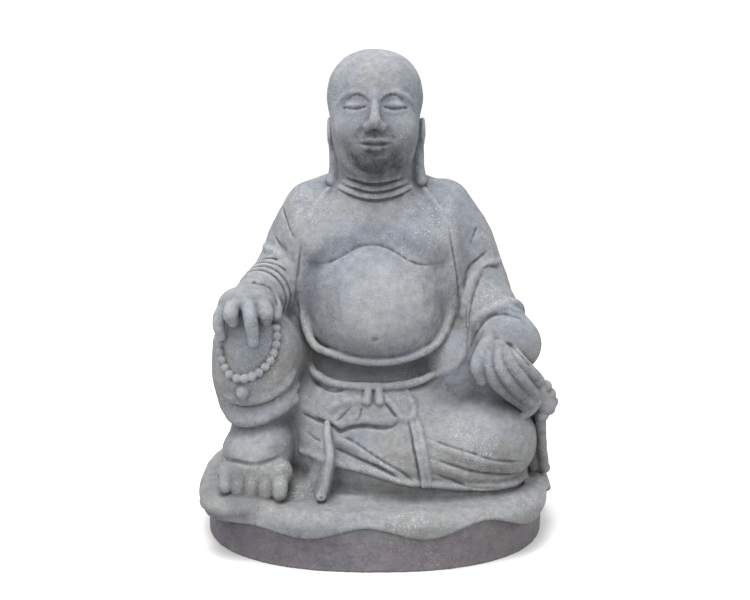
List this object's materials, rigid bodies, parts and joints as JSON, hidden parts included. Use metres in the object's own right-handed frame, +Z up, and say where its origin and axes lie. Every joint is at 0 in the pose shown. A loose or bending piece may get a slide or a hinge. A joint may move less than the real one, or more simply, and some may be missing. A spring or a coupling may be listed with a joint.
{
  "type": "seated buddha statue",
  "caption": "Stone garden figure of a seated, bald, round-bellied monk in a draped robe, carved with its oval base from one block; rests on its flat underside.",
  "frame": {"origin": "centre of the flat underside of the base, at the floor", "axes": "+Z up through the head, +X to the figure's left hand, -Y the way the figure faces"},
  "size_m": [0.599, 0.4891, 0.7994],
  "materials": {
    "stone": "matte, weathered, finely pitted mid-grey stone with paler wear on the high spots and dark dirt in the hollows"
  },
  "bodies": {
    "root": {"seated_buddha": "stone"}
  },
  "joints": []
}
